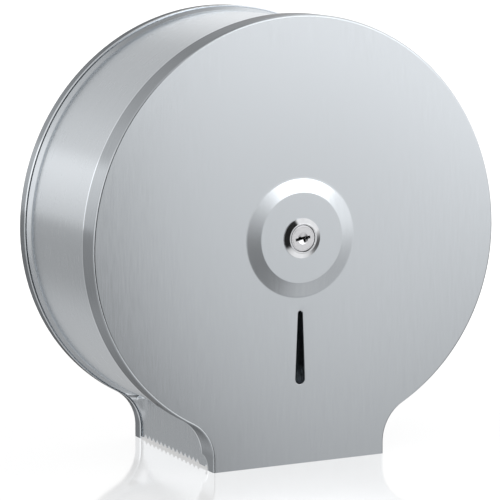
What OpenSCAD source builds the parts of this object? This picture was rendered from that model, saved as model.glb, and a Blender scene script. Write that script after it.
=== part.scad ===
// Jumbo toilet roll dispenser: a round stainless steel drum that hangs on a wall,
// with a short open neck below it where the paper comes out.
// Millimetres. +Z is up, the front faces -Y, and the wall is the plane y = 0.
// The origin is where the line through the roll spindle and the lock meets the wall.
// Sizes called "ahead" are distances from the wall towards the front.

/* [Shell] */
// Radius of the upper half of the shell
shell_r = 133; // [120:0.5:150]
// Radius of the two lower sides, which draw in a little towards the neck
lower_r = 119; // [110:0.5:126]
// How far the shell's centre lies below the spindle
shell_drop = 1.4; // [0:0.1:3]
// Depth from the wall to the front face
shell_depth = 112.4; // [100:0.5:140]
// Half of the neck's width
neck_half_w = 57.4; // [52:0.1:62]
// Height of the neck's straight walls, below the hollow corner
neck_straight = 7.5; // [6:0.1:20]
// Radius of the hollow corner between drum and neck
neck_fillet = 26; // [20:0.5:28]
// Thickness of the steel sheet
sheet = 0.9; // [0.7:0.05:1.2]

/* [Back plate] */
// Depth of the rim folded forward round the back plate
back_rim = 9; // [6:0.5:14]
// Distance between the two wall screw holes
screw_pitch = 160; // [130:1:180]
// Height of the wall screw holes above the spindle
screw_rise = 20; // [0:1:30]
// Diameter of the wall screw holes
screw_hole_d = 5.5; // [4:0.1:6]

/* [Drum wall] */
// Play between the drum wall's foot and the back plate's rim
foot_play = 0.1; // [0.05:0.05:0.3]
// How far the drum wall stands in from the shell's outline
wall_inset = 3.2; // [2.8:0.1:4]
// Length of the slope between the wall's foot and the wall
flare_len = 2.4; // [1.2:0.1:4]
// Gap between the drum wall's front edge and the cover's inside
front_gap = 1; // [0.5:0.1:2]
// Height of the tear edge's tips above the neck's bottom edge
tear_lift = 1.2; // [1:0.1:4]
// Distance from one tear tooth to the next
tooth_pitch = 5.7; // [4:0.1:6]
// Height of a tear tooth
tooth_h = 2.6; // [2:0.1:4]
// Number of teeth on each side of the neck
tooth_count = 14; // [8:1:14]
// Gap between the back plate's rim and the first tooth
tooth_start = 2.5; // [1:0.5:6]

/* [Cover] */
// Depth of the cover's folded edge
cover_rim = 16.8; // [14:0.1:22]
// How far the face stands in at the bend of its edge
bend_inset = 0.8; // [0.4:0.1:0.8]
// Diameter of the raised round at its foot
boss_base_d = 71; // [60:0.5:90]
// Diameter of the raised round's flat top
boss_flat_d = 54; // [40:0.5:57]
// Height of the raised round
boss_h = 1.8; // [1:0.1:2.5]
// Distance from the lock's centre down to the level slot's top
slot_top = 43.7; // [40:0.1:50]
// Length of the level slot
slot_len = 44.4; // [20:0.1:48]
// Width of the level slot at its narrow top end
slot_top_w = 3.2; // [2.4:0.1:4]
// Width of the level slot at its wide bottom end
slot_bottom_w = 6.4; // [4.8:0.1:8]
// Radius of the round cut in the cover edge's lower rear corners
corner_cut_r = 8.5; // [6:0.1:9]

/* [Cover hinge] */
// Distance from the front face back to the hinge axis
hinge_back = 11; // [10:0.1:13]
// Height of the hinge axis above the neck's bottom edge
hinge_rise = 9.6; // [9:0.1:12]
// Radius of the drum wall's round ear that holds the rod
ear_r = 6.2; // [5:0.1:8]
// Diameter of the hinge rod
rod_d = 4; // [3:0.1:5]
// Outer diameter of the rod's nylon bushes
bush_d = 6; // [5.6:0.1:7]
// Diameter of the bush's collar and of the rod's push-on rings
bush_collar_d = 7.6; // [7.2:0.1:8.4]
// Thickness of the bush's collar
bush_collar_t = 0.8; // [0.5:0.1:1.2]
// Thickness of the rod's push-on rings
rod_ring_t = 1.2; // [0.8:0.1:2]
// Distance from the middle to each hinge lug
lug_x = 45; // [30:1:48]
// Thickness of the hinge lugs
lug_t = 1.5; // [1.2:0.1:2]
// Radius of the hinge lugs round the rod
lug_r = 5; // [4.5:0.1:6]
// Height of the hinge lugs' feet
lug_foot_h = 14; // [12:0.5:18]
// Width of the hinge lugs' feet
lug_foot_w = 12; // [8:0.5:14]

/* [Spindle and hub] */
// Outer diameter of the spindle post
post_d = 40; // [38:0.5:42]
// Bore of the spindle post
post_bore_d = 30; // [29:0.5:31]
// Thickness of the post's closed end at the flange
post_floor = 4; // [3:0.5:8]
// Diameter of the flange at the spindle post's foot
flange_d = 70; // [68:0.5:80]
// Thickness of the flange
flange_t = 2.5; // [2:0.1:4]
// Diameter of the rivets' circle
rivet_circle_d = 58; // [57:0.5:60]
// Diameter of the rivets
rivet_d = 4; // [3:0.1:5]
// Diameter of the rivets' heads
rivet_head_d = 7.6; // [6:0.1:8]
// Height of the rivets' heads
rivet_head_h = 1.8; // [1.2:0.1:2.2]
// Outer diameter of the roll hub, which carries the roll's core
hub_d = 45; // [44:0.5:48]
// Diameter of the hub's collar, which keeps the roll off the rivets
hub_collar_d = 64; // [54:0.5:80]
// Thickness of the hub's collar
hub_collar_t = 2.2; // [1.5:0.1:4]
// Distance from the flange to the hub's collar
hub_collar_gap = 3.4; // [3.2:0.1:6]
// Slope at the hub's front end
hub_chamfer = 1; // [0.4:0.1:1.2]
// Thickness of the hub's two nylon washers
hub_washer_t = 0.8; // [0.5:0.1:1.5]

/* [Strike] */
// Diameter of the strike plate at the spindle's front end
strike_d = 43.4; // [42.6:0.1:44]
// Thickness of the strike plate
strike_t = 1.5; // [1.2:0.1:2]
// Diameter of the strike screws' circle
strike_circle_d = 35; // [34.5:0.1:35.5]
// Thread diameter of the strike screws
strike_screw_d = 3; // [2.5:0.1:3.2]
// Length of the strike screws below their heads
strike_screw_len = 9; // [6:0.5:14]

/* [Lock] */
// Diameter of the lock's ring on the face
lock_ring_d = 24; // [22:0.5:28]
// Thickness of the lock's ring
lock_ring_t = 1.9; // [1:0.1:2.5]
// Diameter of the lock's threaded barrel
barrel_d = 19; // [18:0.1:19.4]
// Length of the barrel behind the raised round's front
barrel_len = 20; // [18:0.1:22]
// Diameter of the plug's face
plug_face_d = 15.9; // [15:0.1:16.2]
// Thickness of the plug's head
plug_head_t = 3; // [2:0.1:4]
// How far the plug's face sits behind the ring's front
plug_recess = 0.5; // [0.2:0.1:1]
// Diameter of the plug behind its head
plug_d = 13.4; // [12.9:0.1:14]
// Length of the keyway's straight part
key_w = 9.8; // [8:0.1:10.2]
// Thickness of the keyway's straight part
key_t = 1.7; // [1.2:0.1:2.4]
// Depth of the keyway
key_depth = 15; // [13:0.1:16]
// Tilt of the keyway at rest
key_tilt = 8; // [0:1:30]
// Width across the flats of the barrel's nut
nut_af = 24; // [23:0.5:28]
// Thickness of the barrel's nut
nut_t = 4; // [3:0.1:5]
// Thickness of the toothed washer
tooth_washer_t = 0.9; // [0.6:0.1:1.2]
// Thickness of the cam
cam_t = 2; // [1.5:0.1:2.5]
// Width of the cam
cam_w = 9; // [8.5:0.1:9.5]
// Distance from the lock's centre to the cam's tip
cam_reach = 13; // [12:0.1:13.4]
// Gap between the cam and the strike plate
cam_gap = 0.5; // [0.3:0.1:1]
// Side of the square that drives the cam
tail_side = 6; // [5.5:0.1:6.4]
// Diameter of the cam's stud
stud_d = 5; // [4:0.1:5.4]
// Width across the flats of the cam's nut
cam_nut_af = 8; // [7:0.1:9]
// Thickness of the cam's nut
cam_nut_t = 3.6; // [2.5:0.1:4.5]
// Diameter of the washer under the cam's nut
cam_washer_d = 9.5; // [9:0.1:11]
// Thickness of the washer under the cam's nut
cam_washer_t = 0.8; // [0.5:0.1:1]
// How far the stud stands out of the cam's nut
stud_end = 1; // [0.5:0.1:2]
// Number of wafers in the plug
wafer_count = 5; // [3:1:5]
// Thickness of a wafer
wafer_t = 0.9; // [0.6:0.1:1]
// Distance from one wafer to the next
wafer_pitch = 2; // [1.7:0.1:2.1]
// Distance from the plug's head back to the first wafer
wafer_start = 2; // [1.5:0.1:2.5]

/* [Clearances] */
// Radial play of a part that turns
run_play = 0.1; // [0.05:0.01:0.15]
// Radial play of a part that sits fast in its hole
fit_play = 0.04; // [0.02:0.01:0.1]
// Room round the lock where it passes the strike plate
strike_play = 1.2; // [1:0.1:1.5]

/* [Hidden] */
$fn = 96;
eps = 0.01;
// How far two curves that blend into each other cross, so that their meeting point is sure
blend = 0.002;

// The shell's outline
shift_x = shell_r - lower_r;
fillet_x = neck_half_w + neck_fillet;
fillet_z = -sqrt((lower_r + neck_fillet) ^ 2 - (fillet_x - shift_x) ^ 2);
neck_drop = neck_straight - fillet_z;
base_z = -shell_drop - neck_drop;

// Distances ahead of the wall
cover_in = shell_depth - sheet;
cover_back = shell_depth - cover_rim;
wall_front = cover_in - front_gap;
boss_front = shell_depth + boss_h;
boss_in = boss_front - sheet;
ring_front = boss_front + lock_ring_t;
barrel_back = boss_front - barrel_len;
plug_front = ring_front - plug_recess;
plug_step = plug_front - plug_head_t;
wafer_front = plug_step - wafer_start;
cam_front = barrel_back - 2 * run_play;
cam_back = cam_front - cam_t;
strike_back = cam_front + cam_gap;
strike_front = strike_back + strike_t;
post_back = sheet + flange_t;
hub_back = post_back + hub_washer_t + run_play;
hub_front = strike_back - hub_washer_t - run_play;
hub_collar_back = post_back + hub_collar_gap;
wall_flare_start = back_rim + foot_play;
wall_flare_end = wall_flare_start + flare_len;
tooth_back = back_rim + tooth_start;

// The cover hinge
hinge_ahead = shell_depth - hinge_back;
hinge_z = base_z + hinge_rise;
ear_back = hinge_ahead - ear_r / 3;
wall_x = neck_half_w - sheet - foot_play;
wall_in_x = wall_x - sheet;
rod_half = wall_x - fit_play;

// The lock and its fasteners
bore_d = plug_d + 2 * run_play;
counterbore_d = plug_face_d + 2 * run_play;
barrel_hole_d = barrel_d + 2 * fit_play;
stud_len = cam_washer_t + cam_nut_t + stud_end;
barrel_thread_d = barrel_d - 2 * fit_play;
hub_bore_d = post_d + 2 * run_play;
// A wafer fills most of the plug, and its corners stay inside the plug's round
wafer_w = plug_d * 0.54;
wafer_h = plug_d * 0.785;

// A solid whose outline is drawn from the front, from one distance ahead to another
module ahead(from, to) {
    translate([0, -from, 0])
        rotate([90, 0, 0])
            linear_extrude(to - from)
                children();
}

// A solid whose outline is drawn from the side: its first axis runs ahead, its second up
module across(width) {
    rotate([90, 0, -90])
        linear_extrude(width, center = true)
            children();
}

// The drum's round and the neck's straight sides, which meet in a sharp corner;
// the round is grown outwards by d, and the neck's bottom edge can lie below the shell's
module drum(d, half_w, below = 0) {
    translate([0, -shell_drop]) {
        intersection() {
            circle(shell_r + d, $fn = 180);
            translate([-2 * shell_r, 0])
                square([4 * shell_r, 2 * shell_r]);
        }
        for (side = [-1, 1])
            translate([side * shift_x, 0])
                circle(lower_r + d, $fn = 180);
        translate([-half_w, -neck_drop - below])
            square([2 * half_w, neck_drop + below]);
    }
}

// The rounded fillings of the hollow corners between drum and neck, for an outline grown by d
module corners(d) {
    inside = 1 - 1.2 * neck_fillet / (lower_r + neck_fillet);
    corner = [shift_x + (fillet_x - shift_x) * inside, fillet_z * inside];
    translate([0, -shell_drop])
        for (side = [0, 1])
            mirror([side, 0])
                difference() {
                    polygon([[0, 0], corner, [fillet_x, fillet_z], [0, fillet_z]]);
                    translate([fillet_x, fillet_z])
                        circle(neck_fillet - d + blend, $fn = 48);
                }
}

// The shell's outline, grown outwards by d: drum and neck, with hollow corners between them
module outline(d = 0, below = 0) {
    drum(d, neck_half_w + d, below);
    corners(d);
}

// A band of sheet that follows the outline and is open at the neck's bottom
module band(d, from, to) {
    cut_past = 5;
    ahead(from, to)
        difference() {
            outline(d);
            outline(d - sheet, cut_past);
        }
}

// Points on a circle round the spindle
function round_spots(count, r, start = 90) =
    [for (i = [0 : count - 1]) r * [cos(start + i * 360 / count), sin(start + i * 360 / count)]];

module hex(af) {
    circle(af / sqrt(3), $fn = 6);
}

module at_hinge() {
    translate([0, -hinge_ahead, hinge_z])
        rotate([0, 90, 0])
            children();
}

// Pressed steel pan against the wall
module back_plate() {
    color("silver") difference() {
        union() {
            ahead(0, sheet)
                outline();
            band(0, sheet, back_rim);
        }
        ahead(-1, back_rim) {
            for (side = [-1, 1])
                translate([side * screw_pitch / 2, screw_rise])
                    circle(screw_hole_d / 2);
            for (spot = round_spots(3, rivet_circle_d / 2))
                translate(spot)
                    circle(rivet_d / 2 + fit_play);
        }
    }
}

// What is cut off the neck's two walls: the saw teeth, and the corner round the hinge ear
module neck_trim() {
    tip_z = base_z + tear_lift;
    cut_past = 10;
    across(2 * shell_r)
        difference() {
            union() {
                translate([0, base_z - cut_past])
                    square([shell_depth, tear_lift + cut_past]);
                for (i = [0 : tooth_count - 1])
                    translate([tooth_back + i * tooth_pitch, tip_z])
                        polygon([[0, -eps], [tooth_pitch, -eps], [tooth_pitch / 2, tooth_h]]);
                translate([ear_back, base_z - cut_past])
                    square([shell_depth, hinge_rise + cut_past]);
            }
            translate([hinge_ahead, hinge_z])
                circle(ear_r);
        }
}

// A part of the drum wall's depth: the neck's sides stay straight where the round flares,
// and a webbed part also fills the corners out to the foot's rounded ones
module wall_band(d, from, to, webbed = false) {
    spare = 2;
    cut_past = 5;
    ahead(from, to)
        difference() {
            union() {
                drum(d, wall_x, spare);
                if (webbed)
                    corners(d);
            }
            drum(d - sheet, wall_in_x, spare + cut_past);
        }
}

// One strip of steel bent round the drum, whose flat ends are the neck's walls
module drum_wall() {
    foot = -sheet - foot_play;
    step = (wall_inset + foot) / 3;
    color("lightgray") difference() {
        union() {
            band(foot, sheet, wall_flare_start);
            for (i = [1, 2])
                wall_band(foot - i * step, wall_flare_start + (i - 1) * flare_len / 2,
                    wall_flare_start + i * flare_len / 2, webbed = i == 1);
            wall_band(-wall_inset, wall_flare_end, wall_front);
        }
        neck_trim();
        at_hinge()
            cylinder(d = bush_d + 2 * fit_play, h = 2 * shell_r, center = true);
    }
}

// A slot with a narrow round end at the top and a wide one at the bottom
module teardrop_slot() {
    r1 = slot_top_w / 2;
    r2 = slot_bottom_w / 2;
    run = slot_len - r1 - r2;
    lean = asin((r2 - r1) / run);
    translate([0, -slot_top - r1]) {
        circle(r1 + blend, $fn = 32);
        translate([0, -run])
            circle(r2 + blend, $fn = 32);
        polygon([[-r1 * cos(lean), r1 * sin(lean)], [r1 * cos(lean), r1 * sin(lean)],
            [r2 * cos(lean), r2 * sin(lean) - run], [-r2 * cos(lean), r2 * sin(lean) - run]]);
    }
}

// The raised round, pressed forward out of the cover's sheet
module boss() {
    wall = [[boss_base_d / 2, shell_depth], [boss_flat_d / 2, boss_front],
        [barrel_hole_d / 2, boss_front], [barrel_hole_d / 2, boss_in],
        [boss_flat_d / 2, boss_in], [boss_base_d / 2, cover_in]];
    rotate([90, 0, 0])
        rotate_extrude()
            polygon(wall);
}

// Pressed steel cover with its folded edge
module front_cover() {
    color("gainsboro") difference() {
        union() {
            difference() {
                union() {
                    ahead(cover_in, cover_in + sheet / 2)
                        outline(-bend_inset / 3);
                    ahead(cover_in + sheet / 2, shell_depth)
                        outline(-bend_inset);
                }
                ahead(cover_in - 1, shell_depth + 1)
                    circle(boss_base_d / 2);
            }
            band(0, cover_back, cover_in);
            boss();
        }
        ahead(cover_in - 1, shell_depth + 1)
            teardrop_slot();
        across(2 * shell_r)
            translate([cover_back, base_z])
                circle(corner_cut_r);
    }
}

// Two bent lugs, welded to the cover's inside, that swing on the hinge rod
module hinge_lugs() {
    color("darkgray") for (side = [-1, 1])
        translate([side * lug_x, 0, 0]) {
            difference() {
                across(lug_t)
                    union() {
                        translate([hinge_ahead, hinge_z])
                            circle(lug_r);
                        translate([hinge_ahead, hinge_z - lug_r])
                            square([hinge_back - sheet, 2 * lug_r]);
                    }
                at_hinge()
                    cylinder(d = rod_d + 2 * run_play, h = 4 * lug_t, center = true);
            }
            translate([-lug_foot_w / 2 - side * (lug_foot_w - lug_t) / 2,
                -cover_in, hinge_z - lug_r])
                cube([lug_foot_w, lug_t, lug_foot_h]);
        }
}

module hinge_rod() {
    color("dimgray") at_hinge()
        cylinder(d = rod_d, h = 2 * rod_half, center = true);
}

// Push-on rings that keep the rod between the two bushes
module rod_rings() {
    ring_x = wall_in_x - bush_collar_t - fit_play - rod_ring_t;
    color("gray") for (side = [0, 1])
        mirror([side, 0, 0])
            at_hinge()
                difference() {
                    translate([0, 0, ring_x])
                        cylinder(d = bush_collar_d, h = rod_ring_t);
                    cylinder(d = rod_d + 2 * fit_play, h = shell_r);
                }
}

module hinge_bushes() {
    color("white") for (side = [0, 1])
        mirror([side, 0, 0])
            at_hinge()
                difference() {
                    union() {
                        translate([0, 0, wall_in_x - bush_collar_t])
                            cylinder(d = bush_collar_d, h = bush_collar_t);
                        translate([0, 0, wall_in_x])
                            cylinder(d = bush_d, h = sheet);
                    }
                    cylinder(d = rod_d + 2 * fit_play, h = shell_r);
                }
}

module spindle_flange() {
    color("silver") ahead(sheet, post_back)
        difference() {
            circle(flange_d / 2);
            for (spot = round_spots(3, rivet_circle_d / 2))
                translate(spot)
                    circle(rivet_d / 2 + fit_play);
        }
}

// Cast post, open at its front end, where the lock's cam turns
module spindle_post() {
    color("darkgray") difference() {
        ahead(post_back, strike_back)
            circle(post_d / 2);
        ahead(post_back + post_floor, strike_back + 1)
            circle(post_bore_d / 2);
        ahead(strike_back - strike_screw_len - 1, strike_back + 1)
            for (spot = round_spots(3, strike_circle_d / 2, 30))
                translate(spot)
                    circle(strike_screw_d / 2 + fit_play, $fn = 32);
    }
}

// Three rivets that hold the spindle's flange to the back plate
module spindle_rivets() {
    head_top_d = 0.6 * rivet_head_d;
    color("gray") for (spot = round_spots(3, rivet_circle_d / 2))
        translate([spot[0], 0, spot[1]])
            rotate([90, 0, 0]) {
                cylinder(d = rivet_d, h = post_back + eps);
                translate([0, 0, post_back])
                    cylinder(d1 = rivet_head_d, d2 = head_top_d, h = rivet_head_h);
            }
}

// Two nylon washers, one at each end of the roll hub
module hub_washers() {
    color("white") for (from = [post_back, strike_back - hub_washer_t])
        ahead(from, from + hub_washer_t)
            difference() {
                circle(hub_d / 2 - hub_chamfer);
                circle(post_d / 2 + fit_play);
            }
}

// Plastic sleeve that turns on the spindle with the roll
module roll_hub() {
    color("whitesmoke") rotate([90, 0, 0])
        rotate_extrude()
            polygon([[hub_bore_d / 2, hub_back], [hub_d / 2, hub_back],
                [hub_d / 2, hub_collar_back], [hub_collar_d / 2, hub_collar_back],
                [hub_collar_d / 2, hub_collar_back + hub_collar_t],
                [hub_d / 2, hub_collar_back + hub_collar_t],
                [hub_d / 2, hub_front - hub_chamfer], [hub_d / 2 - hub_chamfer, hub_front],
                [hub_bore_d / 2, hub_front]]);
}

// Steel disc with a keyhole that lets the lock's cam in at one turn only
module strike_plate() {
    color("silver") ahead(strike_back, strike_front)
        difference() {
            circle(strike_d / 2);
            circle(barrel_d / 2 + strike_play);
            translate([-cam_w / 2 - strike_play, -cam_reach - strike_play])
                square([cam_w + 2 * strike_play, cam_reach]);
            for (spot = round_spots(3, strike_circle_d / 2, 30))
                translate(spot)
                    circle(strike_screw_d / 2 + fit_play, $fn = 32);
        }
}

// Cross-slotted screws, whose heads are in the usual proportions to the thread
module strike_screws() {
    head_d = 1.7 * strike_screw_d;
    head_top_d = 0.8 * head_d;
    head_h = 0.5 * strike_screw_d;
    slot_len = 0.6 * head_d;
    slot_w = 0.2 * strike_screw_d;
    color("gray") for (spot = round_spots(3, strike_circle_d / 2, 30))
        translate([spot[0], 0, spot[1]])
            rotate([90, 0, 0])
                difference() {
                    union() {
                        translate([0, 0, strike_front - strike_screw_len])
                            cylinder(d = strike_screw_d, h = strike_screw_len + eps, $fn = 32);
                        translate([0, 0, strike_front])
                            cylinder(d1 = head_d, d2 = head_top_d, h = head_h, $fn = 32);
                    }
                    translate([0, 0, strike_front + head_h / 2])
                        for (turn = [0, 90])
                            rotate([0, 0, turn])
                                translate([-slot_len / 2, -slot_w / 2, 0])
                                    cube([slot_len, slot_w, head_h]);
                }
}

// Chromed ring and threaded barrel in one piece
module lock_body() {
    thread_edge = 0.5;
    ring_side = 0.25 * lock_ring_t;
    ring_slope = 3;
    mouth_edge = 0.4;
    color("lightgray") rotate([90, 0, 0])
        rotate_extrude()
            polygon([[bore_d / 2, barrel_back],
                [barrel_thread_d / 2 - thread_edge, barrel_back],
                [barrel_thread_d / 2, barrel_back + thread_edge],
                [barrel_thread_d / 2, boss_front], [lock_ring_d / 2, boss_front],
                [lock_ring_d / 2, boss_front + ring_side],
                [lock_ring_d / 2 - ring_slope, ring_front],
                [counterbore_d / 2 + mouth_edge, ring_front],
                [counterbore_d / 2, ring_front - mouth_edge],
                [counterbore_d / 2, plug_step - run_play],
                [bore_d / 2, plug_step - run_play]]);
}

// Spring washer whose teeth, all round its outer edge, bite into the cover's sheet
module tooth_washer() {
    teeth = 20;
    nut_edge = 0.3;
    tooth_len = 1.2;
    tip_r = nut_af / 2 - nut_edge;
    color("gray") ahead(boss_in - tooth_washer_t, boss_in)
        difference() {
            polygon([for (i = [0 : 2 * teeth - 1])
                (tip_r - (i % 2) * tooth_len) * [cos(i * 180 / teeth), sin(i * 180 / teeth)]]);
            circle(barrel_hole_d / 2);
        }
}

module lock_nut() {
    color("silver") ahead(boss_in - tooth_washer_t - nut_t, boss_in - tooth_washer_t)
        difference() {
            hex(nut_af);
            circle(barrel_hole_d / 2);
        }
}

// The keyway, as seen from the front: a straight slot, a rib's groove above it and one below
module keyway() {
    top_groove = [0.18 * key_w, 0.5];
    top_start = -0.28 * key_w;
    low_groove = [0.13 * key_w, 1.8];
    low_start = 0.04 * key_w;
    rotate(key_tilt) {
        square([key_w, key_t], center = true);
        translate([top_start, 0])
            square(top_groove + [0, key_t / 2]);
        translate([low_start, -low_groove[1] - key_t / 2])
            square(low_groove + [0, key_t / 2]);
    }
}

// The slots across the plug, in which the wafers sit
module plug_slots() {
    for (i = [0 : wafer_count - 1])
        ahead(wafer_front - i * wafer_pitch - wafer_t - fit_play,
            wafer_front - i * wafer_pitch + fit_play)
            rotate(key_tilt)
                square([wafer_h, wafer_w] + 2 * [fit_play, fit_play], center = true);
}

// Turning core of the lock, with the keyway, the cam's square and its stud
module lock_plug() {
    color("silver") difference() {
        union() {
            ahead(plug_step, plug_front)
                circle(plug_face_d / 2);
            ahead(cam_front, plug_step + eps)
                circle(plug_d / 2);
            ahead(cam_back, cam_front + eps)
                square(tail_side, center = true);
            ahead(cam_back - stud_len, cam_back + eps)
                circle(stud_d / 2);
        }
        ahead(plug_front - key_depth, plug_front + 1)
            keyway();
        plug_slots();
    }
}

// Brass wafers that sit in the plug's slots, each with the key's window
module lock_wafers() {
    color("goldenrod") for (i = [0 : wafer_count - 1])
        ahead(wafer_front - i * wafer_pitch - wafer_t, wafer_front - i * wafer_pitch)
            difference() {
                rotate(key_tilt)
                    square([wafer_h, wafer_w], center = true);
                keyway();
            }
}

module lock_cam() {
    color("dimgray") ahead(cam_back, cam_front)
        difference() {
            union() {
                circle(cam_w / 2);
                translate([-cam_w / 2, -cam_reach])
                    square([cam_w, cam_reach]);
            }
            square(tail_side + 2 * fit_play, center = true);
        }
}

module cam_washer() {
    color("gray") ahead(cam_back - cam_washer_t, cam_back)
        difference() {
            circle(cam_washer_d / 2);
            circle(stud_d / 2 + fit_play);
        }
}

module cam_nut() {
    color("silver") ahead(cam_back - cam_washer_t - cam_nut_t, cam_back - cam_washer_t)
        difference() {
            hex(cam_nut_af);
            circle(stud_d / 2 + fit_play);
        }
}

back_plate();
drum_wall();
front_cover();
hinge_lugs();
hinge_rod();
rod_rings();
hinge_bushes();
spindle_flange();
spindle_post();
spindle_rivets();
hub_washers();
roll_hub();
strike_plate();
strike_screws();
lock_body();
tooth_washer();
lock_nut();
lock_plug();
lock_wafers();
lock_cam();
cam_washer();
cam_nut();
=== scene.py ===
# Jumbo toilet roll dispenser: a brushed steel drum with a hinged, locked cover, dressed for its looks.
# The sizes below are millimetres, "ahead" is the distance forward from the wall, and every mesh is in metres.
import math

import bmesh
import bpy
import numpy as np
from mathutils import Matrix, Vector


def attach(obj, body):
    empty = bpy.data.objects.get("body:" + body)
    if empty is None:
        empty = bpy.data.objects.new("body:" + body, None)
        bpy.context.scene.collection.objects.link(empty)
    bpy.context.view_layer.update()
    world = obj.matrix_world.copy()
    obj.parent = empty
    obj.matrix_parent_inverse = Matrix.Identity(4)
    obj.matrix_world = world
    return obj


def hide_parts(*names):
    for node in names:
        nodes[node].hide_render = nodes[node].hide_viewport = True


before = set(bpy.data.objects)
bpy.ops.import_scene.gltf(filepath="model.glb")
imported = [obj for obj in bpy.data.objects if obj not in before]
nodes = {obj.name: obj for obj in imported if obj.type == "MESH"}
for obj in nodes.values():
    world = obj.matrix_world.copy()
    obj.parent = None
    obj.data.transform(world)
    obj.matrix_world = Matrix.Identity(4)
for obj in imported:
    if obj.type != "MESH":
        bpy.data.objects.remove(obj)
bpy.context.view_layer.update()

# ---------------------------------------------------------------- Back plate
# The pan that is screwed to the wall: 0.9 mm stainless sheet whose rim is folded forward.
# Its bend is rounded, its raw edge lightly broken, and two holes take the wall screws.
mm = 0.001
sheet = 0.9
shell_r = 133.0
lower_r = 119.0
shell_drop = 1.4
neck_half_w = 57.4
neck_straight = 7.5
neck_fillet = 26.0
back_rim = 9.0
bend_r = 1.3
raw_edge = 0.2
# The band beside the rim's raw edge, this wide, takes the brighter steel of a painted highlight.
highlight_band = 1.5
hole_edge = 0.2
screw_hole_r = 2.75
screw_x = 80.0
screw_rise = 20.0
rivet_circle_r = 29.0
rivet_hole_r = 2.04
cut_r = 8.5
shift_x = shell_r - lower_r
fillet_x = neck_half_w + neck_fillet
fillet_z = -math.sqrt((lower_r + neck_fillet) ** 2 - (fillet_x - shift_x) ** 2)
base_z = -shell_drop + fillet_z - neck_straight


def shell_line():
    """Points and outward normals along the shell's outline, from the neck's right foot to its left."""
    join = math.degrees(math.atan2(fillet_z, fillet_x - shift_x))
    heights = [cut_r * math.sin(math.radians(t)) for t in np.linspace(0, 90, 13)]
    right = [(neck_half_w, base_z + h, 0.0) for h in heights if h < neck_straight]
    climbs = [(h - neck_straight) / neck_fillet for h in heights if h > neck_straight]
    leans = [0.0] + [-math.degrees(math.asin(climb)) for climb in climbs]

    def arc(x, z, r, turns):
        return [(x + r * math.cos(math.radians(t)), z - shell_drop + r * math.sin(math.radians(t)), t)
                for t in turns]

    leans += list(np.linspace(leans[-1], join, 20)[1:])
    right += arc(fillet_x, fillet_z, -neck_fillet, leans)
    right += arc(shift_x, 0, lower_r, np.linspace(join, 0, 34)[1:])
    right += arc(0, 0, shell_r, np.linspace(0, 90, 50)[1:])
    whole = right + [(-x, z, 180 - t) for x, z, t in right[-2::-1]]
    return [(x, z, math.cos(math.radians(t)), math.sin(math.radians(t))) for x, z, t in whole]


line = shell_line()


def spot(x, ahead, z):
    """A place in the scene from sizes in millimetres."""
    return Vector((x, -ahead, z)) * mm


def on_shell(i, d, ahead):
    """The point d outside the outline's station i."""
    x, z, nx, nz = line[i]
    return spot(x + d * nx, ahead, z + d * nz)


def lace(bm, rows, ring=False):
    """Faces between neighbouring rows of points; ring closes each row."""
    verts = [[bm.verts.new(p) for p in row] for row in rows]
    for low, high in zip(verts, verts[1:]):
        for j in range(len(low) - (0 if ring else 1)):
            k = (j + 1) % len(low)
            bm.faces.new((low[j], low[k], high[k], high[j]))
    return verts


def loop_edges(bm, verts):
    """The edges of a closed loop, made where they are missing."""
    return [bm.edges.get(pair) or bm.edges.new(pair) for pair in zip(verts, verts[1:] + verts[:1])]


def circle_row(x, z, r, ahead, count):
    """A row of points on a circle that faces forward."""
    turns = np.arange(count) * 2 * math.pi / count
    return [spot(x + r * math.cos(t), ahead, z + r * math.sin(t)) for t in turns]


def pan(face, turn, rim_end, holes):
    """A folded pan: its outer face at one distance ahead, its rim turned to +1 forwards or -1 back.

    rim_end gives the rim's length at a station; holes are rows of points from the outer face to the inner.
    The rim's outside takes the second material, a darker copy of the steel that paints shade on it; its cut
    edge and the band beside it take the third, a brighter steel that paints a highlight there."""
    bm = bmesh.new()
    inner_r = bend_r - sheet
    quarter = [math.radians(t) for t in np.linspace(0, 90, 6)]
    rows = []
    for i in range(len(line)):
        end = rim_end(i)
        chain = [(bend_r * (math.sin(q) - 1), bend_r * (1 - math.cos(q))) for q in quarter]
        chain += [(0, max(end - highlight_band, bend_r + 0.1)), (0, end - raw_edge)]
        chain += [(-raw_edge, end), (raw_edge - sheet, end), (-sheet, end - raw_edge)]
        chain += [(inner_r * math.sin(q) - bend_r, bend_r - inner_r * math.cos(q)) for q in reversed(quarter)]
        rows.append([on_shell(i, d, face + turn * u) for d, u in chain])
    verts = lace(bm, rows)
    bend = len(quarter) - 1
    for low, high in zip(verts, verts[1:]):
        for j in range(bend // 2, bend + 5):
            strip = bm.faces.get((low[j], low[j + 1], high[j + 1], high[j]))
            strip.material_index = 1 if j <= bend else 2
    outer = [row[0] for row in verts]
    inner = [row[-1] for row in verts]
    bm.faces.new(verts[0])
    bm.faces.new(verts[-1])
    bm.faces.new((outer[-1], outer[0], inner[0], inner[-1]))
    outer_edges = loop_edges(bm, outer)
    inner_edges = loop_edges(bm, inner)
    for hole in holes:
        hole_verts = lace(bm, hole, ring=True)
        outer_edges += loop_edges(bm, hole_verts[0])
        inner_edges += loop_edges(bm, hole_verts[-1])
    for edges in (outer_edges, inner_edges):
        bmesh.ops.triangle_fill(bm, use_beauty=True, use_dissolve=False, edges=edges, normal=(0, 1, 0))
    return bm


def lay_grain(bm):
    """UV in metres: u across the grain, v along it. Faces that look forward or back have an upright grain,
    the others a grain that runs round the shell."""
    layer = bm.loops.layers.uv.new("grain")
    for face in bm.faces:
        flat = abs(face.normal.y) > 0.9
        for corner in face.loops:
            p = corner.vert.co
            corner[layer].uv = (p.x, p.z) if flat else (p.y, math.atan2(p.z, p.x) * shell_r * mm)


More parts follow.
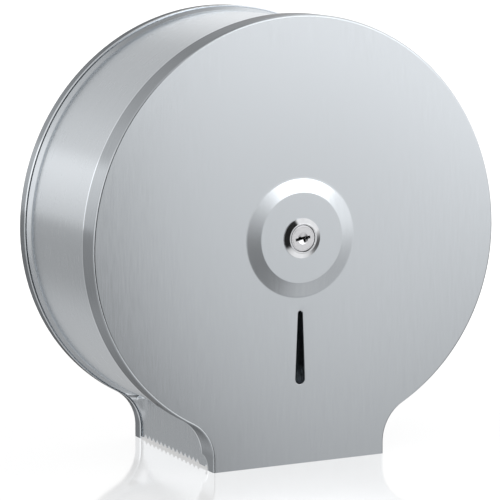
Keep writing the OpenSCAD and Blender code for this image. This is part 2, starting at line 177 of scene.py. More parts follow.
def finish_mesh(name, bm, material, smooth=35):
    """Turns a bmesh into an object with soft bends and crisp corners."""
    bmesh.ops.remove_doubles(bm, verts=bm.verts, dist=1e-7)
    bmesh.ops.recalc_face_normals(bm, faces=bm.faces)
    bm.normal_update()
    lay_grain(bm)
    for face in bm.faces:
        face.smooth = True
    for edge in bm.edges:
        edge.smooth = edge.calc_face_angle(math.pi) < math.radians(smooth)
    mesh = bpy.data.meshes.new(name)
    bm.to_mesh(mesh)
    bm.free()
    obj = bpy.data.objects.new(name, mesh)
    bpy.context.scene.collection.objects.link(obj)
    mesh.materials.append(material)
    normals = obj.modifiers.new("even normals", "WEIGHTED_NORMAL")
    normals.keep_sharp = True
    return obj


def new_material(name):
    """A material with its node tree and its shader."""
    material = bpy.data.materials.new(name)
    material.use_nodes = True
    tree = material.node_tree
    return material, tree, tree.nodes["Principled BSDF"]


def add_node(tree, kind, **values):
    """A node with its plain settings and socket values given by name."""
    node = tree.nodes.new(kind)
    for key, value in values.items():
        if key in node.inputs:
            node.inputs[key].default_value = value
        else:
            setattr(node, key, value)
    return node


def noise(tree, coords, scale, detail=2.0):
    """Noise over coordinates that are stretched by scale, in repeats a metre."""
    mapping = add_node(tree, "ShaderNodeMapping", Scale=scale)
    tree.links.new(coords, mapping.inputs["Vector"])
    texture = add_node(tree, "ShaderNodeTexNoise", Scale=1.0, Detail=detail)
    tree.links.new(mapping.outputs["Vector"], texture.inputs["Vector"])
    return texture.outputs["Fac"]


def spread(tree, value, low, high, start=0.3, stop=0.7):
    """The value's range from start to stop, laid over low to high."""
    node = tree.nodes.new("ShaderNodeMapRange")
    for key, number in (("From Min", start), ("From Max", stop), ("To Min", low), ("To Max", high)):
        node.inputs[key].default_value = number
    tree.links.new(value, node.inputs["Value"])
    return node.outputs["Result"]


def calc(tree, operation, a, b):
    """A sum on two node outputs or numbers."""
    node = add_node(tree, "ShaderNodeMath", operation=operation)
    for socket, value in zip(node.inputs, (a, b)):
        if isinstance(value, (int, float)):
            socket.default_value = value
        else:
            tree.links.new(value, socket)
    return node.outputs[0]


def times(tree, first, *others):
    """The product of node outputs or numbers."""
    for other in others:
        first = calc(tree, "MULTIPLY", first, other)
    return first


def tint(tree, value, dark, light):
    """A colour between two, by a value from 0 to 1."""
    node = add_node(tree, "ShaderNodeMix", data_type="RGBA")
    node.inputs[6].default_value = (*dark, 1)
    node.inputs[7].default_value = (*light, 1)
    tree.links.new(value, node.inputs[0])
    return node.outputs[2]


def steel(level):
    """The steel's slightly bluish colour at a level of lightness."""
    return level * 0.953, level, level * 1.047


def brushed(name, level, rough, grain=0.03, aniso=0.5, crown=0.0, edge=1.0):
    """Stainless sheet with a brush grain along v: streaks in colour, roughness and a shallow relief.

    level is the mean lightness, rough the mean roughness, grain how far that roughness strays.
    crown bows a flat face by this many millimetres at the shell's edge, as sheet does when its rim is folded.
    edge is how much of its glare at a flat angle the metal keeps."""
    material, tree, shader = new_material(name)
    uv = add_node(tree, "ShaderNodeUVMap", uv_map="grain").outputs["UV"]
    fine = noise(tree, uv, (1100, 80, 1), 3)
    broad = noise(tree, uv, (260, 25, 1), 2)
    both = calc(tree, "ADD", times(tree, fine, 0.75), times(tree, broad, 0.25))
    stray = 0.025
    streaks = tint(tree, spread(tree, both, 0, 1), steel(level - stray), steel(level + stray))
    tree.links.new(streaks, shader.inputs["Base Color"])
    tree.links.new(spread(tree, both, rough - grain, rough + grain), shader.inputs["Roughness"])
    bump = add_node(tree, "ShaderNodeBump", Strength=0.15, Distance=0.00001)
    tree.links.new(fine, bump.inputs["Height"])
    if crown:
        place = add_node(tree, "ShaderNodeTexCoord").outputs["Object"]
        flat = add_node(tree, "ShaderNodeVectorMath", operation="MULTIPLY")
        flat.inputs[1].default_value = (1 / (shell_r * mm), 0, 1 / (shell_r * mm))
        tree.links.new(place, flat.inputs[0])
        length = add_node(tree, "ShaderNodeVectorMath", operation="LENGTH")
        tree.links.new(flat.outputs[0], length.inputs[0])
        sunk = times(tree, calc(tree, "POWER", length.outputs["Value"], 4.0), -1.0)
        bow = add_node(tree, "ShaderNodeBump", Strength=1.0, Distance=crown * mm)
        tree.links.new(sunk, bow.inputs["Height"])
        tree.links.new(bow.outputs["Normal"], bump.inputs["Normal"])
    tree.links.new(bump.outputs["Normal"], shader.inputs["Normal"])
    tangent = add_node(tree, "ShaderNodeTangent", direction_type="UV_MAP", uv_map="grain")
    tree.links.new(tangent.outputs["Tangent"], shader.inputs["Tangent"])
    shader.inputs["Metallic"].default_value = 1.0
    shader.inputs["Anisotropic"].default_value = aniso
    shader.inputs["Specular Tint"].default_value = (edge, edge, edge, 1)
    return material


back_holes = []
for side in (-1, 1):
    back_holes.append([circle_row(side * screw_x, screw_rise, r, a, 32)
                       for r, a in ((screw_hole_r + hole_edge, 0), (screw_hole_r, hole_edge),
                                    (screw_hole_r, sheet - hole_edge), (screw_hole_r + hole_edge, sheet))])
for turn in (90, 210, 330):
    x, z = rivet_circle_r * math.cos(math.radians(turn)), rivet_circle_r * math.sin(math.radians(turn))
    back_holes.append([circle_row(x, z, rivet_hole_r, a, 24) for a in (0, sheet)])
back_plate = finish_mesh("back_plate_sheet", pan(0, 1, lambda i: back_rim, back_holes),
                         brushed("back plate steel", 0.7, 0.26))
# The rim takes a darker copy of the plate's steel, with less glare at a flat angle: painted shade on the rim.
back_plate.data.materials.append(brushed("back rim steel with painted shade", 0.6, 0.2, 0.02, edge=0.25))
# The cut edge and the band beside it take a much brighter steel: a painted highlight along the rim's edge.
highlight_edge_steel = brushed("cut edge steel with painted highlight", 0.93, 0.14, 0.04)
back_plate.data.materials.append(highlight_edge_steel)
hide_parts("back_plate")
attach(back_plate, "housing")

# ---------------------------------------------------------------- Drum wall
# One strip of the same sheet, bent round the drum and spot-welded inside the back plate's rim by its
# flared foot. Its two ends are bent down into the neck's flat walls, whose lower edges are cut to saw
# teeth that tear the paper; the round ear at the front of each holds the hinge rod.
foot_d = -sheet - 0.1
wall_d = -3.2
wall_bend_r = 1.2
foot_bends = (0.6, 1.6)
foot_bends_inside = (0.7, 1.5)
bend_steps = 5
flare_start = 9.1
flare_end = 11.5
flare_bend_len = 1.6
corner_len = 9
corner_steps = 5
hollow_count = 11
straight_count = 6
wall_front = 110.5
wall_below = 2
hinge_ahead = 101.4
hinge_z = base_z + 9.6
ear_r = 6.2
ear_share = 1 / 3
ear_back = hinge_ahead - ear_r * ear_share
bush_hole_r = 3.04
tear_lift = 1.2
tooth_start = 11.5
tooth_pitch = 5.7
tooth_h = 2.6
tooth_count = 14
tear_corner_r = 1.0
cutter_half_w = 150
cutter_below = 10
cutter_behind = -5
cutter_front = 120


def rounded(path, radii, steps=4):
    """A path whose corners are rounded by the given radii."""
    out = []
    for k, (x, y) in enumerate(path):
        if not radii[k]:
            out.append((x, y))
            continue
        here = Vector((x, y))
        back = (Vector(path[k - 1]) - here).normalized()
        on = (Vector(path[(k + 1) % len(path)]) - here).normalized()
        half = back.angle(on) / 2
        reach = radii[k] / math.tan(half)
        centre = here + (back + on).normalized() * radii[k] / math.sin(half)
        first, last = here + back * reach - centre, here + on * reach - centre
        sweep = first.angle_signed(last)
        for s in range(steps + 1):
            spoke = first.copy()
            spoke.rotate(Matrix.Rotation(-sweep * s / steps, 2))
            out.append(tuple(centre + spoke))
    return out


def prism(outline, x0, x1):
    """A bar along x whose outline is given as points (ahead, z)."""
    bm = bmesh.new()
    ends = lace(bm, [[spot(x, a, z) for a, z in outline] for x in (x0, x1)], ring=True)
    for end in ends:
        bm.faces.new(end)
    bmesh.ops.recalc_face_normals(bm, faces=bm.faces)
    return bm


def carve(obj, cutters, operation="DIFFERENCE"):
    """Cuts bmeshes out of an object's mesh, or joins them to it."""
    for bm in cutters:
        mesh = bpy.data.meshes.new("cutter")
        bm.to_mesh(mesh)
        bm.free()
        tool = bpy.data.objects.new("cutter", mesh)
        bpy.context.scene.collection.objects.link(tool)
        cut = obj.modifiers.new("cut", "BOOLEAN")
        cut.object = tool
        cut.operation = operation
        cut.solver = "EXACT"
        shown = [m for m in obj.modifiers if m != cut and m.show_viewport]
        for m in shown:
            m.show_viewport = False
        result = bpy.data.meshes.new_from_object(obj.evaluated_get(bpy.context.evaluated_depsgraph_get()))
        for m in shown:
            m.show_viewport = True
        obj.modifiers.remove(cut)
        obj.data = result
        bpy.data.objects.remove(tool)
    return obj


def trim_line():
    """What is cut away under the neck's walls, as points (ahead, z)."""
    tip = base_z + tear_lift
    under = base_z - cutter_below
    points = [(cutter_behind, under), (cutter_behind, tip)]
    for i in range(tooth_count):
        root = tooth_start + i * tooth_pitch
        points += [(root, tip), (root + tooth_pitch / 2, tip + tooth_h)]
    points.append((tooth_start + tooth_count * tooth_pitch, tip))
    r = tear_corner_r
    for t in np.linspace(-math.pi / 2, 0, 5):
        points.append((ear_back - r + r * math.cos(t), tip + r + r * math.sin(t)))
    for t in np.linspace(-math.acos(-ear_share), 0, 24):
        points.append((hinge_ahead + ear_r * math.cos(t), hinge_z + ear_r * math.sin(t)))
    return points + [(cutter_front, hinge_z), (cutter_front, under)]


def half_wall(share, w, late):
    """Points (x, z) of the wall's right half at one place in its section, from below its foot to the top.

    share is 0 at the foot, whose corners are rounded like the shell's, and 1 at the wall itself, whose
    corners are creased; w is the depth inside the sheet. late is the share that the corner's middle has
    reached, which falls behind because the sheet can't crease at once."""
    neck_x = neck_half_w + foot_d - w
    hollow_r = neck_fillet - foot_d + w
    join = math.atan2(fillet_z, fillet_x - shift_x)
    bend = -math.acos((neck_x - shift_x) / (lower_r + wall_d - w))
    past_bend = bend + 0.05

    def arc(x, z, r, turns):
        return [(x + r * math.cos(t), z - shell_drop + r * math.sin(t)) for t in turns]

    def drum_half(first, d):
        """The round from an angle at the neck up to the top."""
        return (arc(shift_x, 0, lower_r + d, np.linspace(first, 0, 34))
                + arc(0, 0, shell_r + d, np.linspace(0, math.pi / 2, 50)[1:]))

    low = [(neck_x, base_z - wall_below)]
    hollow = arc(fillet_x, fillet_z, -hollow_r, [join * k / hollow_count for k in range(hollow_count)])
    straight = [(neck_x, z) for x, z in hollow[:straight_count]]
    corner = arc(shift_x, 0, lower_r + wall_d - w, (bend, past_bend))
    crease_steps = hollow_count - straight_count - 1
    crease = rounded([straight[-1]] + corner, (0, wall_bend_r + w, 0), crease_steps)[1:-1]
    foot = low + hollow + drum_half(join, foot_d - w)
    wall = low + straight + crease + drum_half(past_bend, wall_d - w)
    shares = [share] * len(foot)
    for k in range(hollow_count):
        shares[k + 1] += (late - share) * math.sin(math.pi * k / (hollow_count - 1))
    return [(x0 + s * (x1 - x0), z0 + s * (z1 - z0)) for (x0, z0), (x1, z1), s in zip(foot, wall, shares)]


def wall_mesh():
    """The wall's sheet: one section from foot to front edge and back inside, swept round the drum."""
    bm = bmesh.new()
    outer = [(foot_d, sheet), (foot_d, flare_start), (wall_d, flare_end), (wall_d, wall_front)]
    inner = [(d - sheet, a) for d, a in reversed(outer)]
    radii = (0, *foot_bends, raw_edge, raw_edge, *foot_bends_inside, 0)
    section = rounded(outer + inner, radii, bend_steps)
    flared = 1 + len(foot_bends) * (bend_steps + 1)
    front = section[flared:-flared]
    more = [flare_end + flare_bend_len + k * corner_len / corner_steps for k in range(corner_steps)]
    section = (section[:flared] + [(wall_d, a) for a in more] + front
               + [(wall_d - sheet, a) for a in reversed(more)] + section[-flared:])
    behind = flared + corner_steps
    depths = [0] * behind + [wall_d - d for d, a in front] + [sheet] * behind
    columns = []
    for (d, a), w in zip(section, depths):
        share = (foot_d - w - d) / (foot_d - wall_d)
        way = min(max((a - flare_start) / corner_len, 0), 1)
        right = half_wall(share, w, min(share, way * way * (3 - 2 * way)))
        column = right + [(-x, z) for x, z in right[-2::-1]]
        columns.append([spot(x, a, z) for x, z in column])
    rows = list(zip(*columns))
    verts = lace(bm, rows, ring=True)
    bm.faces.new(verts[0])
    bm.faces.new(verts[-1])
    return bm


bush_hole = [(hinge_ahead + bush_hole_r * math.cos(t), hinge_z + bush_hole_r * math.sin(t))
             for t in np.arange(40) * math.pi / 20]
wall_steel = brushed("drum wall steel", 0.79, 0.26, 0.02, 0.4)
drum_wall = finish_mesh("drum_wall_sheet", wall_mesh(), wall_steel)
carve(drum_wall, [prism(hole, -cutter_half_w, cutter_half_w) for hole in (trim_line(), bush_hole)])
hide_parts("drum_wall")
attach(drum_wall, "housing")

# ---------------------------------------------------------------- Spindle flange, rivets and post
# The spindle's foot: a turned steel flange, three rivets through the back plate, and a cast
# aluminium post that is open at its front end.


def soften(name, material, width):
    """A CAD node kept as it is, with its edges broken by a small bevel and a material of its own."""
    node = nodes[name]
    weld = node.modifiers.new("weld", "WELD")
    weld.merge_threshold = 0.00001
    bevel = node.modifiers.new("broken edges", "BEVEL")
    bevel.width = width * mm
    bevel.segments = 2
    bevel.limit_method = "ANGLE"
    bevel.angle_limit = math.radians(40)
    normals = node.modifiers.new("even normals", "WEIGHTED_NORMAL")
    normals.keep_sharp = True
    for place in node.material_slots:
        place.material = material


def plated(name, dark, light, rough, speckle=900, relief=0.00002):
    """A bright or dull metal surface: fine speckle in colour and roughness, faint scratches in relief."""
    material, tree, shader = new_material(name)
    place = add_node(tree, "ShaderNodeTexCoord").outputs["Object"]
    grains = noise(tree, place, (speckle,) * 3, 3)
    blotch = noise(tree, place, (70, 70, 70), 2)
    mixed = calc(tree, "ADD", times(tree, grains, 0.6), times(tree, blotch, 0.4))
    tree.links.new(tint(tree, spread(tree, mixed, 0, 1), dark, light), shader.inputs["Base Color"])
    tree.links.new(spread(tree, blotch, rough * 0.8, rough * 1.25), shader.inputs["Roughness"])
    bump = add_node(tree, "ShaderNodeBump", Strength=0.3, Distance=relief)
    tree.links.new(grains, bump.inputs["Height"])
    tree.links.new(bump.outputs["Normal"], shader.inputs["Normal"])
    shader.inputs["Metallic"].default_value = 1.0
    return material


turned_steel = plated("turned steel", (0.55, 0.56, 0.58), (0.68, 0.69, 0.7), 0.3)
zinc = plated("zinc-plated steel", (0.6, 0.61, 0.63), (0.74, 0.75, 0.76), 0.26, 500)
cast = plated("cast aluminium", (0.5, 0.51, 0.52), (0.66, 0.67, 0.68), 0.5, 1300, 0.0001)
soften("spindle_flange", turned_steel, 0.3)
soften("spindle_rivets", zinc, 0.25)
soften("spindle_post", cast, 0.5)

# ---------------------------------------------------------------- Hub and its washers
# The plastic sleeve that turns with the roll, moulded with a collar, between two nylon washers.


def moulded(name, dark, light, rough, pores=1400):
    """Moulded plastic: slight flow in its colour, a fine eroded texture and uneven gloss."""
    material, tree, shader = new_material(name)
    place = add_node(tree, "ShaderNodeTexCoord").outputs["Object"]
    pore = noise(tree, place, (pores,) * 3, 2)
    flow = noise(tree, place, (40, 18, 40), 2)
    tree.links.new(tint(tree, spread(tree, flow, 0, 1), dark, light), shader.inputs["Base Color"])
    tree.links.new(spread(tree, pore, rough * 0.85, rough * 1.15), shader.inputs["Roughness"])
    bump = add_node(tree, "ShaderNodeBump", Strength=0.35, Distance=0.00005)
    tree.links.new(pore, bump.inputs["Height"])
    tree.links.new(bump.outputs["Normal"], shader.inputs["Normal"])
    return material


hub_plastic = moulded("grey hub plastic", (0.27, 0.285, 0.3), (0.35, 0.37, 0.39), 0.42)
nylon = moulded("natural nylon", (0.78, 0.78, 0.73), (0.86, 0.86, 0.82), 0.38, 900)
soften("roll_hub", hub_plastic, 0.4)
soften("hub_washers", nylon, 0.15)

# ---------------------------------------------------------------- Strike plate and its screws
# A steel disc on the post's end, held by three cross-slotted screws; the lock's cam goes in at its
# keyhole and turns behind it.
soften("strike_plate", turned_steel, 0.15)
soften("strike_screws", zinc, 0.12)

# ---------------------------------------------------------------- Hinge rod, bushes and rings
# A steel rod across the neck's front corners, on which the cover's lugs swing. It sits in two nylon
# bushes in the walls' round ears and is kept there by two push-on rings of zinc-plated steel.
soften("hinge_rod", turned_steel, 0.3)
soften("hinge_bushes", nylon, 0.12)
soften("rod_rings", zinc, 0.2)

# ---------------------------------------------------------------- Cover
# The front pan: the face has an upright brush grain and a pressed round that stands out round the
# lock, its rim is folded back, and a drop-shaped slot below the lock shows how full the roll is.
shell_depth = 112.4
cover_in = shell_depth - sheet
cover_rim = 16.8
boss_front = 114.2
boss_in = boss_front - sheet
boss_foot_r = 35.5
boss_top_r = 27.0
boss_foot_bend = 6.0
boss_top_bend = 3.0
boss_margin = 4
lock_hole_r = 9.54
lock_hole_edge = 0.15
slot_top = 43.7
slot_len = 44.4
slot_top_r = 1.6
slot_bottom_r = 3.2
slot_edge = 0.25
slot_edge_mid = 0.07
boss_turns = 128


def cover_rim_end(i):
    """The rim's length at a station: round cuts take its lower rear corners away."""
    height = min(line[i][1] - base_z, cut_r)
    return cover_rim - math.sqrt(cut_r ** 2 - height ** 2)


def boss_rows():
    """Rows from the face's hole over the pressed round, through the lock's hole and back inside."""
    start_r, end_r = boss_foot_r + boss_margin, lock_hole_r + lock_hole_edge
    front = [(start_r, shell_depth), (boss_foot_r, shell_depth),
             (boss_top_r, boss_front), (end_r, boss_front)]
    behind = [(end_r, boss_in), (boss_top_r, boss_in), (boss_foot_r, cover_in), (start_r, cover_in)]
    path = rounded(front, (0, boss_foot_bend, boss_top_bend, 0), 6)
    path += [(lock_hole_r, boss_front - lock_hole_edge), (lock_hole_r, boss_in + lock_hole_edge)]
    path += rounded(behind, (0, boss_top_bend, boss_foot_bend, 0), 6)
    return [circle_row(0, 0, r, a, boss_turns) for r, a in path]


def slot_loop(grow):
    """The drop-shaped slot's outline, grown by a margin, as points (x, z)."""
    top_z = -slot_top - slot_top_r
    bottom_z = -slot_top - slot_len + slot_bottom_r
    lean = math.asin((slot_bottom_r - slot_top_r) / (top_z - bottom_z))
    points = []
    for s in range(13):
        t = -lean + (math.pi + 2 * lean) * s / 12
        points.append(((slot_top_r + grow) * math.cos(t), top_z + (slot_top_r + grow) * math.sin(t)))
    for s in range(17):
        t = math.pi + lean + (math.pi - 2 * lean) * s / 16
        points.append(((slot_bottom_r + grow) * math.cos(t), bottom_z + (slot_bottom_r + grow) * math.sin(t)))
    return points


slot_rows = [[spot(x, a, z) for x, z in slot_loop(grow)]
             for grow, a in ((slot_edge, shell_depth), (slot_edge_mid, shell_depth - slot_edge_mid),
                             (0, shell_depth - slot_edge), (0, cover_in + 0.1), (0.1, cover_in))]
cover_steel = brushed("cover steel", 0.79, 0.22, 0.025, 0.5, crown=2.0)
cover_pan = pan(shell_depth, -1, cover_rim_end, [boss_rows(), slot_rows])
cover = finish_mesh("front_cover_sheet", cover_pan, cover_steel)
# The folded rim takes a darker copy of the face's steel, with less glare at a flat angle: painted shade on
# the rim. Its cut edge and band take the brighter steel of a painted highlight.
cover.data.materials.append(brushed("cover rim steel with painted shade", 0.68, 0.19, 0.02, 0.3, edge=0.35))
cover.data.materials.append(highlight_edge_steel)
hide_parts("front_cover")
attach(cover, "cover")

# ---------------------------------------------------------------- Hinge lugs
# Two lugs bent from zinc-plated steel sheet, spot-welded to the inside of the cover's neck. The hinge
# rod runs through their holes.
soften("hinge_lugs", zinc, 0.2)

# ---------------------------------------------------------------- Lock body
# Chromed zinc: a domed ring on the face and a threaded barrel behind it, in one piece.
ring_front = 116.1
barrel_back = 94.2
barrel_r = 9.46
bore_r = 6.8
mouth_r = 8.05
plug_step = 112.6
thread_pitch = 1.25
thread_h = 0.45
lathe_turns = 96
ring_r = 12.0
ring_dome_r = 11.7
ring_flat_r = 9.0


def lathe(path, closed=True):
    """A turned solid round the lock's axis from a path of points (radius, ahead)."""
    bm = bmesh.new()
    rows = [circle_row(0, 0, r, a, lathe_turns) for r, a in path]
    if closed:
        rows.append(rows[0])
    lace(bm, rows, ring=True)
    bmesh.ops.remove_doubles(bm, verts=bm.verts, dist=1e-7)
    bmesh.ops.recalc_face_normals(bm, faces=bm.faces)
    return bm


def thread(r, start, stop, pitch, depth):
    """Grooves of a thread, as points (radius, ahead)."""
    points = []
    count = int((stop - start) / pitch)
    for k in range(count):
        a = start + k * pitch
        points += [(r, a), (r, a + pitch * 0.15), (r - depth, a + pitch * 0.5), (r, a + pitch * 0.85)]
    return points + [(r, start + count * pitch)]


def polished(name, colour, rough):
    """Chrome plate: nearly even, with faint wipe marks in its gloss."""
    material, tree, shader = new_material(name)
    place = add_node(tree, "ShaderNodeTexCoord").outputs["Object"]
    wipe = noise(tree, place, (300, 300, 60), 3)
    worn = tuple(c * 0.9 for c in colour)
    tree.links.new(tint(tree, spread(tree, wipe, 0, 1), worn, colour), shader.inputs["Base Color"])
    tree.links.new(spread(tree, wipe, rough * 0.7, rough * 1.4), shader.inputs["Roughness"])
    shader.inputs["Metallic"].default_value = 1.0
    return material


ring_path = rounded([(barrel_r, boss_front), (ring_r, boss_front), (ring_r, boss_front + 0.45),
                     (ring_dome_r, boss_front + 0.6), (ring_flat_r, ring_front), (mouth_r + 0.3, ring_front),
                     (mouth_r, ring_front - 0.3)],
                    (0, 0.08, 0.12, 0.3, 0.5, 0.12, 0), 4)
barrel_path = ring_path + [(mouth_r, plug_step - 0.1), (bore_r, plug_step - 0.1), (bore_r, barrel_back),
                           (barrel_r - 0.6, barrel_back)]
barrel_path += thread(barrel_r, barrel_back + 0.6, boss_in - 0.4, thread_pitch, thread_h)
chrome = polished("lock chrome", (0.8, 0.81, 0.83), 0.09)
lock_ring = finish_mesh("lock_body_turned", lathe(barrel_path), chrome, 40)
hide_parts("lock_body")
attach(lock_ring, "cover")

# ---------------------------------------------------------------- Toothed washer and nut
# They clamp the barrel to the cover from inside: a hardened spring washer and a thin hexagon nut.
spring_steel = plated("spring steel", (0.3, 0.3, 0.31), (0.42, 0.42, 0.43), 0.35)
soften("tooth_washer", spring_steel, 0.08)
soften("lock_nut", zinc, 0.3)

# ---------------------------------------------------------------- Lock plug
# The turning core: a turned face with a fine groove near its edge, a shallow cone round the keyway
# that guides the key in, slots for five wafers, and the cam's square and threaded stud behind.
plug_front = 115.6
plug_face_r = 7.95
plug_r = 6.7
cam_front = 94.0
cam_back = 92.0
stud_end = 86.6
stud_r = 2.5
stud_pitch = 0.8
stud_thread_h = 0.3
groove_r = (7.05, 6.95, 6.75, 6.65)
groove_h = 0.12
cone_r = 3.4
cone_h = 1.1
tail_half = 3.0
key_tilt = math.radians(8)
key_depth = 15.0
key_half_w = 4.88
key_half_h = 0.83
key_bend_r = 0.15
ward_low = -2.63
ward_low_from = 0.41
ward_low_to = 1.65
ward_high = 1.33
ward_high_from = -2.72
ward_high_to = -1.0
wafer_front = 110.6
wafer_pitch = 2.0
wafer_t = 0.9
wafer_gap = 0.04
wafer_count = 5
wafer_half_w = 5.3
wafer_half_h = 3.66


def tilted(points):
    """Points (x, z) turned by the keyway's tilt."""
    c, s = math.cos(key_tilt), math.sin(key_tilt)
    return [(x * c - z * s, x * s + z * c) for x, z in points]


def block(outline, start, stop):
    """A block along y whose outline is given as points (x, z)."""
    bm = bmesh.new()
    ends = lace(bm, [[spot(x, a, z) for x, z in outline] for a in (start, stop)], ring=True)
    for end in ends:
        bm.faces.new(end)
    bmesh.ops.recalc_face_normals(bm, faces=bm.faces)
    return bm


key_corners = [(-key_half_w, -key_half_h), (ward_low_from, -key_half_h), (ward_low_from, ward_low),
               (ward_low_to, ward_low), (ward_low_to, -key_half_h), (key_half_w, -key_half_h),
               (key_half_w, key_half_h), (ward_high_to, key_half_h), (ward_high_to, ward_high),
               (ward_high_from, ward_high), (ward_high_from, key_half_h), (-key_half_w, key_half_h)]
key_outline = rounded(key_corners, (key_bend_r,) * len(key_corners), 2)
plug_path = [(0, stud_end), (stud_r - stud_thread_h, stud_end)]
plug_path += thread(stud_r, stud_end + stud_thread_h, cam_back - 0.4, stud_pitch, stud_thread_h)
plug_path += [(stud_r, cam_back), (stud_r, cam_front - 0.1), (plug_r - 0.2, cam_front - 0.1),
              (plug_r, cam_front + 0.1), (plug_r, plug_step), (plug_face_r, plug_step)]
groove = [(r, plug_front - h) for r, h in zip(groove_r, (0, groove_h, groove_h, 0))]
plug_path += rounded([(plug_face_r, plug_front - 0.5), (plug_face_r - 0.35, plug_front)] + groove
                     + [(cone_r, plug_front), (0, plug_front - cone_h)], (0, 0.2, 0, 0, 0, 0, 0.5, 0), 4)
plug_metal = plated("turned plug face", (0.8, 0.8, 0.82), (0.88, 0.88, 0.9), 0.22, 900, 0.00003)
plug = finish_mesh("lock_plug_turned", lathe(plug_path, closed=False), plug_metal, 40)
square = [(-tail_half, -tail_half), (tail_half, -tail_half), (tail_half, tail_half), (-tail_half, tail_half)]
carve(plug, [block(rounded(square, (0.4,) * 4, 3), cam_back, cam_front + 0.2)], "UNION")
wafer_box = tilted([(-wafer_half_w, -wafer_half_h), (wafer_half_w, -wafer_half_h),
                    (wafer_half_w, wafer_half_h), (-wafer_half_w, wafer_half_h)])
key_cuts = [block(tilted(key_outline), plug_front - key_depth, plug_front + 1)]
for i in range(wafer_count):
    slot_front = wafer_front - i * wafer_pitch
    key_cuts.append(block(wafer_box, slot_front - wafer_t - wafer_gap, slot_front + wafer_gap))
carve(plug, key_cuts)
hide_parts("lock_plug")
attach(plug, "lock_core")

# ---------------------------------------------------------------- Wafers, cam and its nut
# Stamped brass wafers in the plug's slots, and on its square a stamped steel cam held by a nut.
# The brass is made nearly black so that the wafers seen in the keyway look like the shade inside it: painted
# shade.
brass = plated("brass darkened as painted shade", (0.16, 0.12, 0.05), (0.24, 0.18, 0.08), 0.4)
soften("lock_wafers", brass, 0.06)
soften("lock_cam", zinc, 0.25)
soften("cam_washer", zinc, 0.12)
soften("cam_nut", zinc, 0.2)

# ---------------------------------------------------------------- Floor, surroundings, lamps and camera
# A white floor with a faint gloss that keeps the shadow and a glow that is dimmer near the object,
# which paints shade round it; a white background, a soft grey studio for the metal to mirror,
# three soft lamps, and the camera at the photograph's angle.
floor_half = 9
floor_gap = 0.02
floor_bm = bmesh.new()
for x, y in ((-1, -1), (1, -1), (1, 1), (-1, 1)):
    floor_bm.verts.new((x * floor_half, y * floor_half, (base_z - floor_gap) * mm))
floor_bm.faces.new(floor_bm.verts)
floor_mesh = bpy.data.meshes.new("floor")
floor_bm.to_mesh(floor_mesh)
floor_bm.free()
floor = bpy.data.objects.new("floor", floor_mesh)
bpy.context.scene.collection.objects.link(floor)
floor.visible_glossy = False
acrylic, tree, shader = new_material("floor acrylic")
tree.nodes.remove(shader)
matt = add_node(tree, "ShaderNodeBsdfDiffuse", Color=(0.2, 0.2, 0.2, 1))
gloss = add_node(tree, "ShaderNodeBsdfGlossy", Color=(1, 1, 1, 1), Roughness=0.08)
white_glow_with_painted_shade = add_node(tree, "ShaderNodeEmission", Color=(1, 1, 1, 1))
# The floor's glow grows with the distance from the scene's centre, so the floor is darker near the object:
# painted shade round it.
away = add_node(tree, "ShaderNodeVectorMath", operation="LENGTH")
tree.links.new(add_node(tree, "ShaderNodeNewGeometry").outputs["Position"], away.inputs[0])
tree.links.new(spread(tree, away.outputs["Value"], 0.55, 0.8, 0.22, 0.6), white_glow_with_painted_shade.inputs["Strength"])
coat = add_node(tree, "ShaderNodeMixShader", Fac=0.35)
total = add_node(tree, "ShaderNodeAddShader")
tree.links.new(matt.outputs[0], coat.inputs[1])
tree.links.new(gloss.outputs[0], coat.inputs[2])
tree.links.new(coat.outputs[0], total.inputs[0])
tree.links.new(white_glow_with_painted_shade.outputs[0], total.inputs[1])
tree.links.new(total.outputs[0], tree.nodes["Material Output"].inputs["Surface"])
floor_mesh.materials.append(acrylic)

world = bpy.data.worlds.new("studio")
bpy.context.scene.world = world
world.use_nodes = True
tree = world.node_tree
sky = tree.nodes["Background"]
rays = add_node(tree, "ShaderNodeLightPath")
direction = add_node(tree, "ShaderNodeTexCoord").outputs["Generated"]


def along(vector):
    """How far the ray's direction lies along a vector."""
    node = add_node(tree, "ShaderNodeVectorMath", operation="DOT_PRODUCT")
    node.inputs[1].default_value = vector
    tree.links.new(direction, node.inputs[0])
    return node.outputs["Value"]


def blend(share, first, second):
    """One colour or node output over another, by a share from 0 to 1."""
    node = add_node(tree, "ShaderNodeMix", data_type="RGBA")
    tree.links.new(share, node.inputs[0])
    for socket, colour in ((node.inputs[6], first), (node.inputs[7], second)):
        if isinstance(colour, tuple):
            socket.default_value = colour
        else:
            tree.links.new(colour, socket)
    return node.outputs[2]


def ramp(value, stops, kind="EASE"):
    """A curve through brightness stops over a value that runs from -1 to 1."""
    node = add_node(tree, "ShaderNodeValToRGB")
    tree.links.new(spread(tree, value, 0, 1, -1, 1), node.inputs["Fac"])
    elements = node.color_ramp.elements
    node.color_ramp.interpolation = kind
    while len(elements) < len(stops):
        elements.new(0.5)
    for element, (at, level) in zip(elements, stops):
        element.position = (at + 1) / 2
        element.color = (level, level, level, 1)
    return node.outputs["Color"]


right = along((1, 0, 0))
leftward = along((-1, 0, 0))
forward = along((0, -1, 0))
rearward = along((0, 1, 0))
height = along((0, 0, 1))

# The studio ahead of the cover, from the floor up, with a dark flag left of the softbox.
front = ramp(height, ((-0.8, 1.0), (-0.62, 0.72), (-0.48, 0.52), (-0.33, 0.52), (-0.24, 0.61), (-0.18, 0.7),
                      (-0.13, 0.82), (-0.08, 0.94), (-0.03, 1.0), (0.8, 1.0), (0.95, 0.3)))
flag = times(tree, ramp(right, ((0.05, 0.55), (0.24, 0.5), (0.3, 0.64), (0.42, 0.0)), kind="LINEAR"),
             ramp(height, ((-0.62, 0.0), (-0.48, 1.0), (-0.13, 1.0), (0.17, 0.0)), kind="LINEAR"))
front = blend(flag, front, (0.0, 0.0, 0.0, 1))

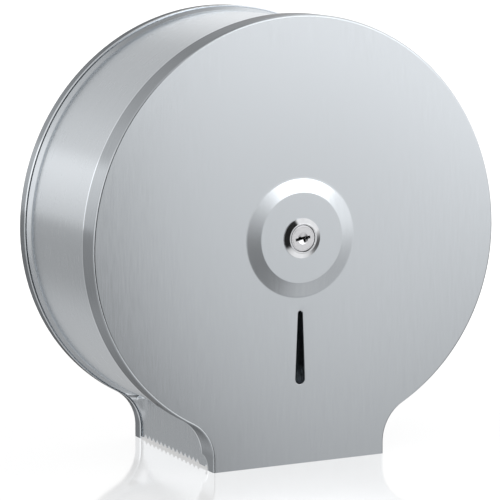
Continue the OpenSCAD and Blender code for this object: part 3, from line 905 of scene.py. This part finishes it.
# The studio behind, brighter at its right, and what stands on the left.
rear = ramp(height, ((-0.8, 0.5), (-0.42, 0.57), (-0.28, 0.4), (-0.15, 0.4), (-0.03, 0.44), (0.08, 0.6),
                     (0.19, 0.72), (0.29, 0.75), (0.41, 0.56), (0.9, 0.3)))
bright = times(tree, spread(tree, right, 0, 1, 0.15, 0.4), spread(tree, height, 0, 1, -0.15, 0.05))
rear = blend(bright, rear, (1, 1, 1, 1))
side = ramp(height, ((-0.59, 0.37), (-0.38, 0.3), (-0.14, 0.55), (0.05, 0.92), (0.23, 1.0), (0.39, 1.0),
                     (0.57, 0.67), (0.88, 0.5), (0.97, 0.28)))
beside = times(tree, spread(tree, rearward, 1, 0, 0.15, 0.5), spread(tree, right, 1, 0, -0.1, 0.1))
rear = blend(beside, rear, side)
around = blend(spread(tree, along((-0.75, 0.66, 0)), 0, 1, -0.3, 0.0), front, rear)

# Small cards in the studio: a dark one and a bright one ahead on the left, a dark one low on the right
# and a grey one ahead on the right.
shade = times(tree, spread(tree, along((1, 0, -0.25)), 1, 0, -0.05, 0.06),
              spread(tree, forward, 0, 1, 0.62, 0.76), spread(tree, height, 0, 1, -0.6, -0.45))
around = blend(shade, around, (0.02, 0.02, 0.02, 1))
glint = times(tree, spread(tree, forward, 0, 1, 0.34, 0.42), spread(tree, forward, 1, 0, 0.56, 0.64),
              spread(tree, leftward, 0, 1, 0.2, 0.35), spread(tree, height, 1, 0, 0.1, 0.3))
around = blend(glint, around, (1, 1, 1, 1))
around = blend(spread(tree, along((0.94, -0.1, -0.32)), 0, 1, 0.9, 1.0), around, (0.1, 0.1, 0.1, 1))
dip = times(tree, ramp(right, ((0.3, 0.0), (0.38, 1.0), (0.53, 1.0), (0.61, 0.0)), kind="LINEAR"),
            ramp(height, ((0.05, 0.0), (0.09, 1.0), (0.15, 1.0), (0.2, 0.0)), kind="LINEAR"),
            spread(tree, forward, 0, 1, 0.0, 0.3))
around = blend(dip, around, (0.25, 0.25, 0.25, 1))
seen = blend(rays.outputs["Is Glossy Ray"], (1, 1, 1, 1), around)
tree.links.new(seen, sky.inputs["Color"])
sky.inputs["Strength"].default_value = 1.0

for name, place, size, power, mirrored in (("key", (-0.9, -1.5, 1.9), (1.6, 1.6), 6, False),
                                           ("softbox", (1.09, -1.74, 0.56), (1.3, 0.45), 2.6, True),
                                           ("back light", (-0.92, 1.82, 0.18), (0.4, 0.6), 0.38, True)):
    lamp = bpy.data.lights.new(name, "AREA")
    lamp.shape = "RECTANGLE"
    lamp.size, lamp.size_y = size
    lamp.energy = power
    lamp_obj = bpy.data.objects.new(name, lamp)
    bpy.context.scene.collection.objects.link(lamp_obj)
    lamp_obj.location = place
    lamp_obj.rotation_euler = (-Vector(place)).to_track_quat("-Z", "Y").to_euler()
    lamp_obj.visible_glossy = mirrored

azimuth, elevation = math.radians(-26.84), math.radians(8.68)
aim = Vector((-0.0334, -0.1124, -0.0050))
distance = 1.5354
back = Vector((math.sin(azimuth) * math.cos(elevation), -math.cos(azimuth) * math.cos(elevation),
               math.sin(elevation)))
lens = bpy.data.cameras.new("photo camera")
lens.sensor_width = 36
lens.lens = 189.1
camera = bpy.data.objects.new("photo camera", lens)
camera.location = aim + back * distance
camera.rotation_euler = (-back).to_track_quat("-Z", "Y").to_euler()
bpy.context.scene.collection.objects.link(camera)
bpy.context.scene.camera = camera
bpy.context.scene.view_settings.view_transform = "Standard"
